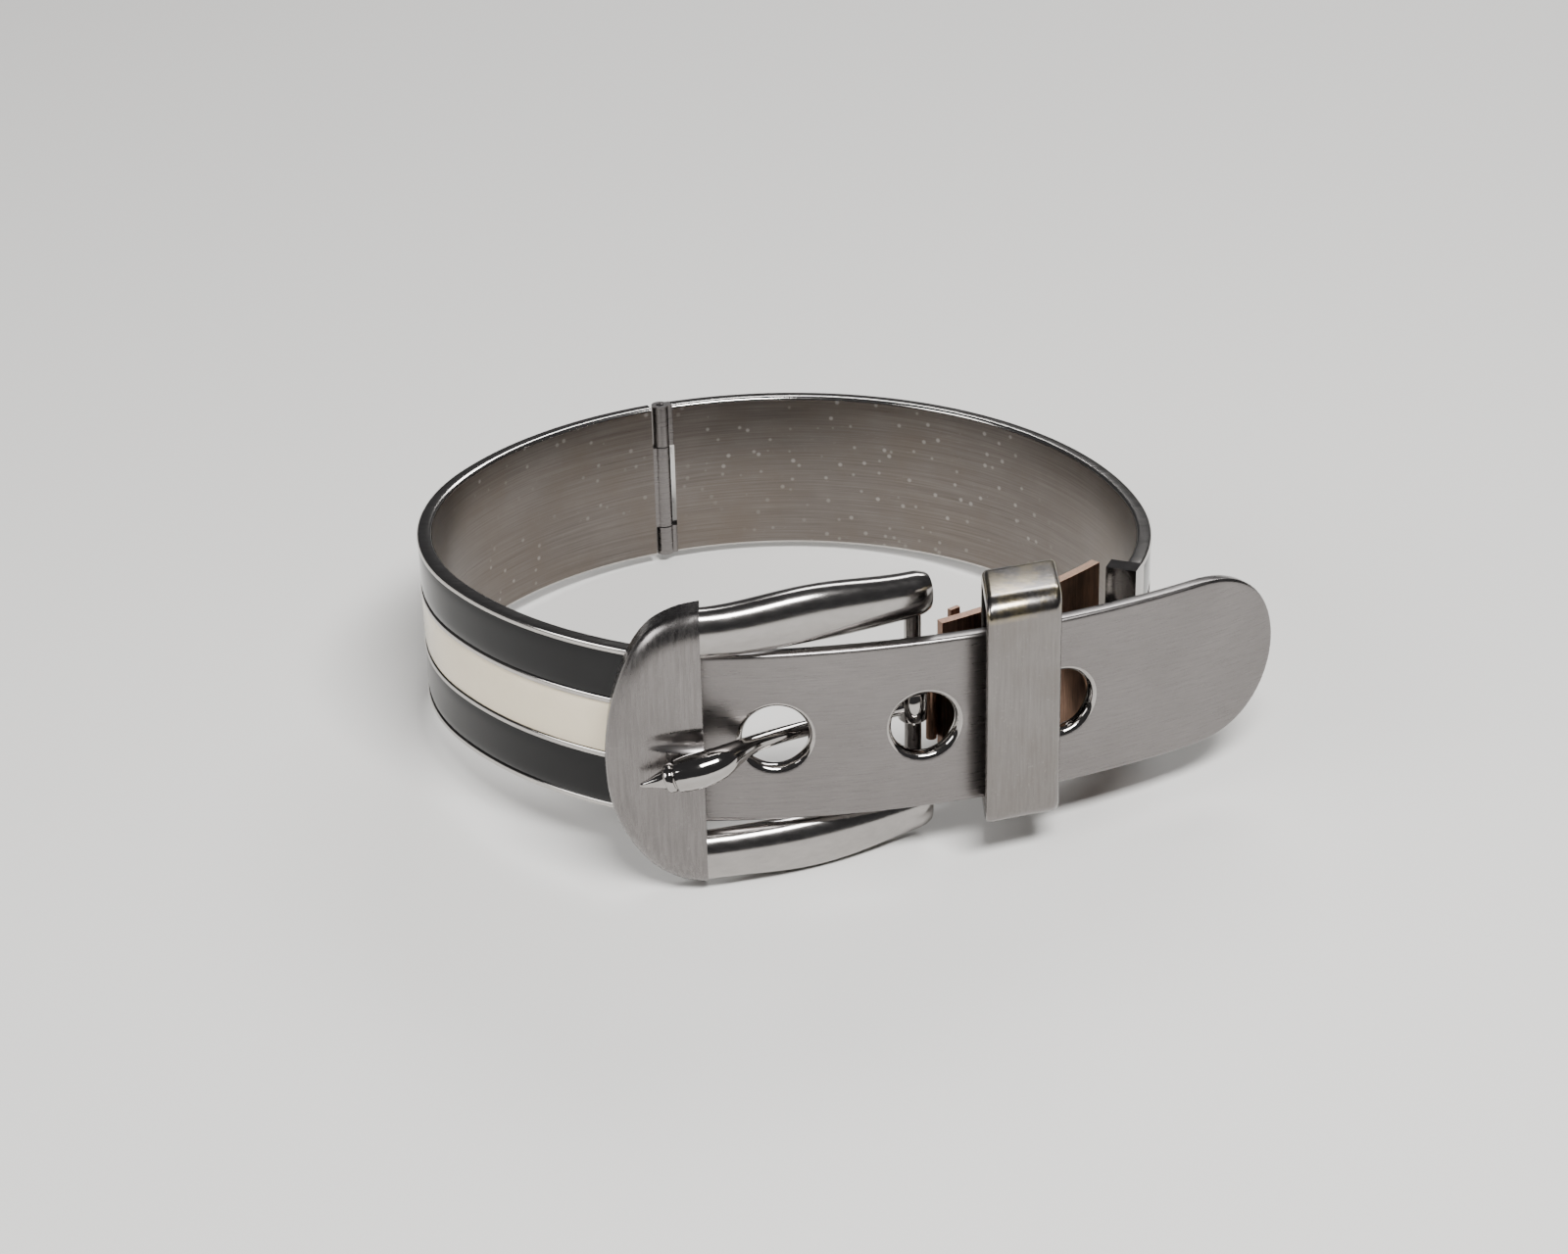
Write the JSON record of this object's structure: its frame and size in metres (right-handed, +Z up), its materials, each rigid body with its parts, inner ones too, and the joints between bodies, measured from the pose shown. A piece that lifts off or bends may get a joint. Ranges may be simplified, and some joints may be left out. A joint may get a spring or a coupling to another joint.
{
  "type": "belt buckle",
  "caption": "Hinged oval bangle shaped like a buckled belt: striped enamel band, buckle with prong, pierced strap end and keeper loop.",
  "frame": {"origin": "on the surface it rests on, at the middle of the footprint box", "axes": "+X along the strap towards its free tip, +Y from the buckle front to the back of the ring, +Z up; the band leans back 4.96 degrees, as it rests on the buckle's lower edge and the back of its rim"},
  "size_m": [0.0722, 0.0598, 0.0251],
  "materials": {
    "satin_metal": "satin brushed silver-coloured plating, fine scratches",
    "polished_metal": "polished silver-coloured plating",
    "tongue_metal": "worn plating with the warm base metal showing",
    "black_enamel": "glossy black enamel",
    "cream_enamel": "glossy ivory enamel"
  },
  "bodies": {
    "buckle_half": {"left_band": "satin_metal", "left_black_enamel_upper": "black_enamel", "left_cream_enamel": "cream_enamel", "left_black_enamel_lower": "black_enamel", "hinge_knuckle_middle": "polished_metal", "strap_plate": "satin_metal", "strap_joint_lap": "satin_metal", "buckle_crescent": "satin_metal", "buckle_arm_upper": "polished_metal", "buckle_arm_lower": "polished_metal", "prong_bar": "polished_metal", "keeper_loop": "satin_metal"},
    "right_half": {"right_band": "satin_metal", "right_black_enamel_upper": "black_enamel", "right_cream_enamel": "cream_enamel", "right_black_enamel_lower": "black_enamel", "right_band_end_cap": "polished_metal", "hinge_knuckles_outer": "polished_metal", "hinge_pin": "polished_metal", "clasp_tongue": "tongue_metal"},
    "spring_leaf": {"clasp_spring_leaf": "tongue_metal"},
    "prong_body": {"prong": "polished_metal"}
  },
  "joints": [
    {"name": "bangle_hinge", "type": "hinge", "parent": "buckle_half", "child": "right_half", "pos_m": [-0.01577, 0.02618, 0.00076], "axis": [0, 0.0865, 0.9963], "range_deg": [0, 50]},
    {"name": "prong_lift", "type": "hinge", "parent": "buckle_half", "child": "prong_body", "pos_m": [0.00529, -0.01883, 0.0122], "axis": [0, 0.0865, 0.9963], "range_deg": [0, 2.2]},
    {"name": "leaf_press", "type": "hinge", "parent": "right_half", "child": "spring_leaf", "pos_m": [0.00687, -0.01731, 0.01207], "axis": [0, -0.0865, -0.9963], "range_deg": [0, 3], "stiffness_Nm_per_rad": 0.02}
  ]
}
